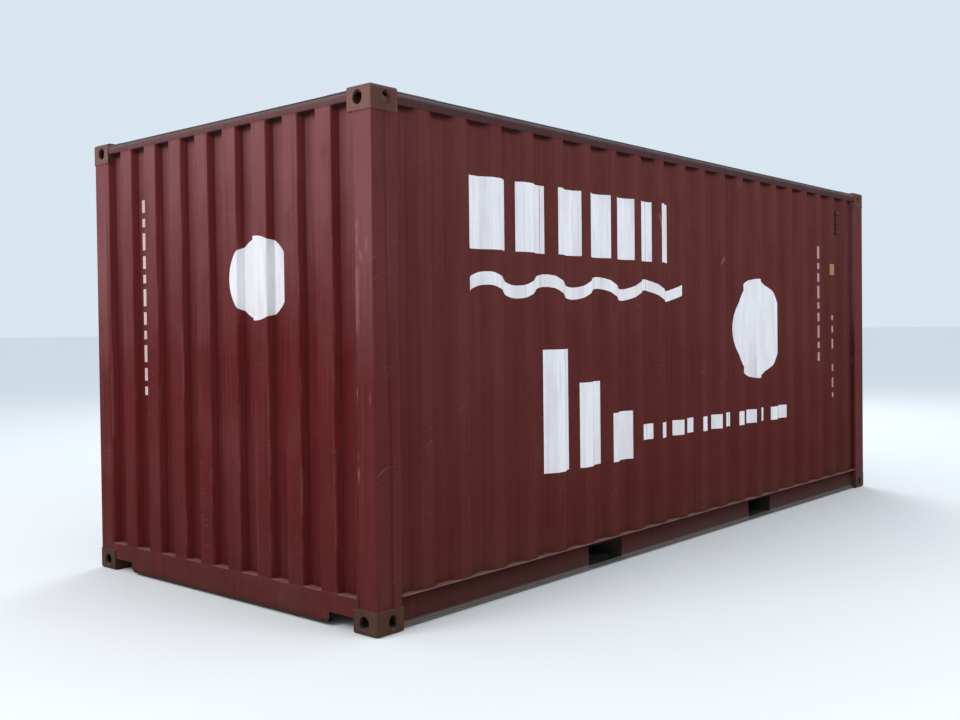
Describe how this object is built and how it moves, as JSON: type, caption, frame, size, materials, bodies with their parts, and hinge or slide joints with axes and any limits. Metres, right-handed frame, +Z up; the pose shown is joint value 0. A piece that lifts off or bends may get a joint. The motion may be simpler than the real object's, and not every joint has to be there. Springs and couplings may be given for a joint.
{
  "type": "freight container",
  "caption": "Dry freight container: corrugated steel box on a frame of posts and rails, with corner fittings, fork pockets and double doors with lock rods.",
  "frame": {"origin": "bottom centre of the box, level with the lower faces of the bottom corner fittings", "axes": "+X towards the door end, +Z up, -Y the left side as seen by someone facing the doors"},
  "size_m": [6.058, 2.438, 2.591],
  "materials": {
    "frame_paint": "weathered oxide-red enamel on welded steel, dusty",
    "casting_paint": "weathered oxide-red enamel on cast steel, worn at its edges",
    "side_paint": "weathered oxide-red enamel on corrugated steel sheet",
    "end_paint": "weathered oxide-red enamel on corrugated steel sheet",
    "roof_paint": "faded oxide-red enamel with dust",
    "door_paint": "weathered oxide-red enamel on steel",
    "underbody_coat": "dark bitumen coat on steel",
    "plywood": "hardwood plywood, unfinished",
    "seal_rubber": "EPDM rubber",
    "galvanised": "hot-dip galvanised steel, dull",
    "vent_plastic": "painted ABS plastic"
  },
  "bodies": {
    "root": {"bottom_side_rail_left": "frame_paint", "bottom_side_rail_right": "frame_paint", "cam_keepers": "galvanised", "corner_fitting_front_left_bottom": "casting_paint", "corner_fitting_front_left_top": "casting_paint", "corner_fitting_front_right_bottom": "casting_paint", "corner_fitting_front_right_top": "casting_paint", "corner_fitting_rear_left_bottom": "casting_paint", "corner_fitting_rear_left_top": "casting_paint", "corner_fitting_rear_right_bottom": "casting_paint", "corner_fitting_rear_right_top": "casting_paint", "cross_members": "underbody_coat", "door_frame_left": "door_paint", "door_frame_right": "door_paint", "door_gaskets": "seal_rubber", "door_header": "frame_paint", "door_hinges_left": "frame_paint", "door_hinges_right": "frame_paint", "door_panel_left": "door_paint", "door_panel_right": "door_paint", "door_sill": "frame_paint", "floor_boards": "plywood", "floor_centre_rail": "underbody_coat", "fork_pocket_front": "underbody_coat", "fork_pocket_rear": "underbody_coat", "front_header": "frame_paint", "front_post_left": "frame_paint", "front_post_right": "frame_paint", "front_sill": "frame_paint", "front_wall": "end_paint", "handle_catches": "galvanised", "lock_rod_inner_left": "galvanised", "lock_rod_inner_right": "galvanised", "lock_rod_outer_left": "galvanised", "lock_rod_outer_right": "galvanised", "rear_post_left": "frame_paint", "rear_post_right": "frame_paint", "rod_brackets": "galvanised", "roof_corner_plates": "roof_paint", "roof_panel": "roof_paint", "side_wall_left": "side_paint", "side_wall_right": "side_paint", "top_side_rail_left": "frame_paint", "top_side_rail_right": "frame_paint", "ventilators": "vent_plastic"}
  },
  "joints": []
}
